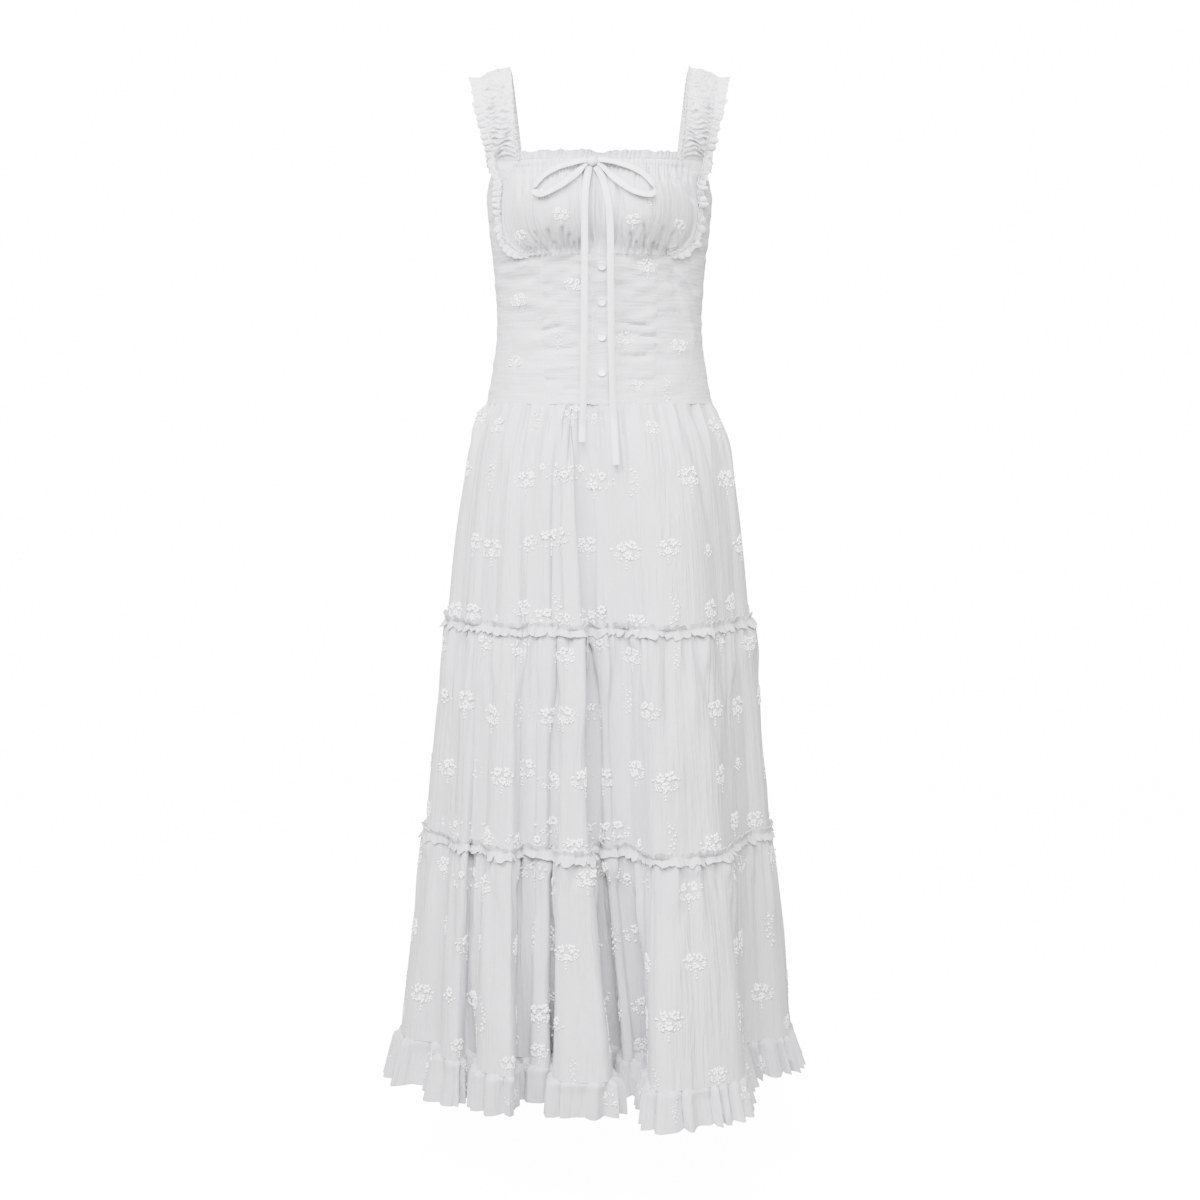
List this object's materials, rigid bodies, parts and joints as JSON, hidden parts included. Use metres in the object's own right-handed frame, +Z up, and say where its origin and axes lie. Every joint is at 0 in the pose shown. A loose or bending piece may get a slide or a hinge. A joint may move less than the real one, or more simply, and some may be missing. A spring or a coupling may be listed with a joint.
{
  "type": "maxi dress",
  "caption": "Sleeveless tiered maxi dress in its worn shape, with ruffled straps, a gathered bust, a buttoned bodice and a frilled skirt.",
  "frame": {"origin": "midway between the two shoulder straps, at the height where they lie on the wearer's shoulders", "axes": "+Z up the body, +X to the wearer's left, +Y to the back, the front towards -Y"},
  "size_m": [0.5201, 0.5597, 1.292],
  "materials": {
    "cotton": "matte",
    "button": "gloss"
  },
  "bodies": {
    "root": {"bodice_back": "cotton", "bust": "cotton", "button_placket": "cotton", "centre_front_left": "cotton", "centre_front_right": "cotton", "hem_ruffle_back": "cotton", "hem_ruffle_front": "cotton", "neck_frill": "cotton", "seam_frill_lower": "cotton", "seam_frill_upper": "cotton", "side_front_left": "cotton", "side_front_right": "cotton", "skirt_tier_1_back": "cotton", "skirt_tier_1_front": "cotton", "skirt_tier_2_back": "cotton", "skirt_tier_2_front": "cotton", "skirt_tier_3_back": "cotton", "skirt_tier_3_front": "cotton", "strap_left": "cotton", "strap_right": "cotton", "strap_ruffle_left": "cotton", "strap_ruffle_right": "cotton", "tie_knot": "cotton", "tie_loop_left": "cotton", "tie_loop_right": "cotton", "tie_tail_left": "cotton", "tie_tail_right": "cotton", "button_1": "button", "button_2": "button", "button_3": "button", "button_4": "button"}
  },
  "joints": []
}
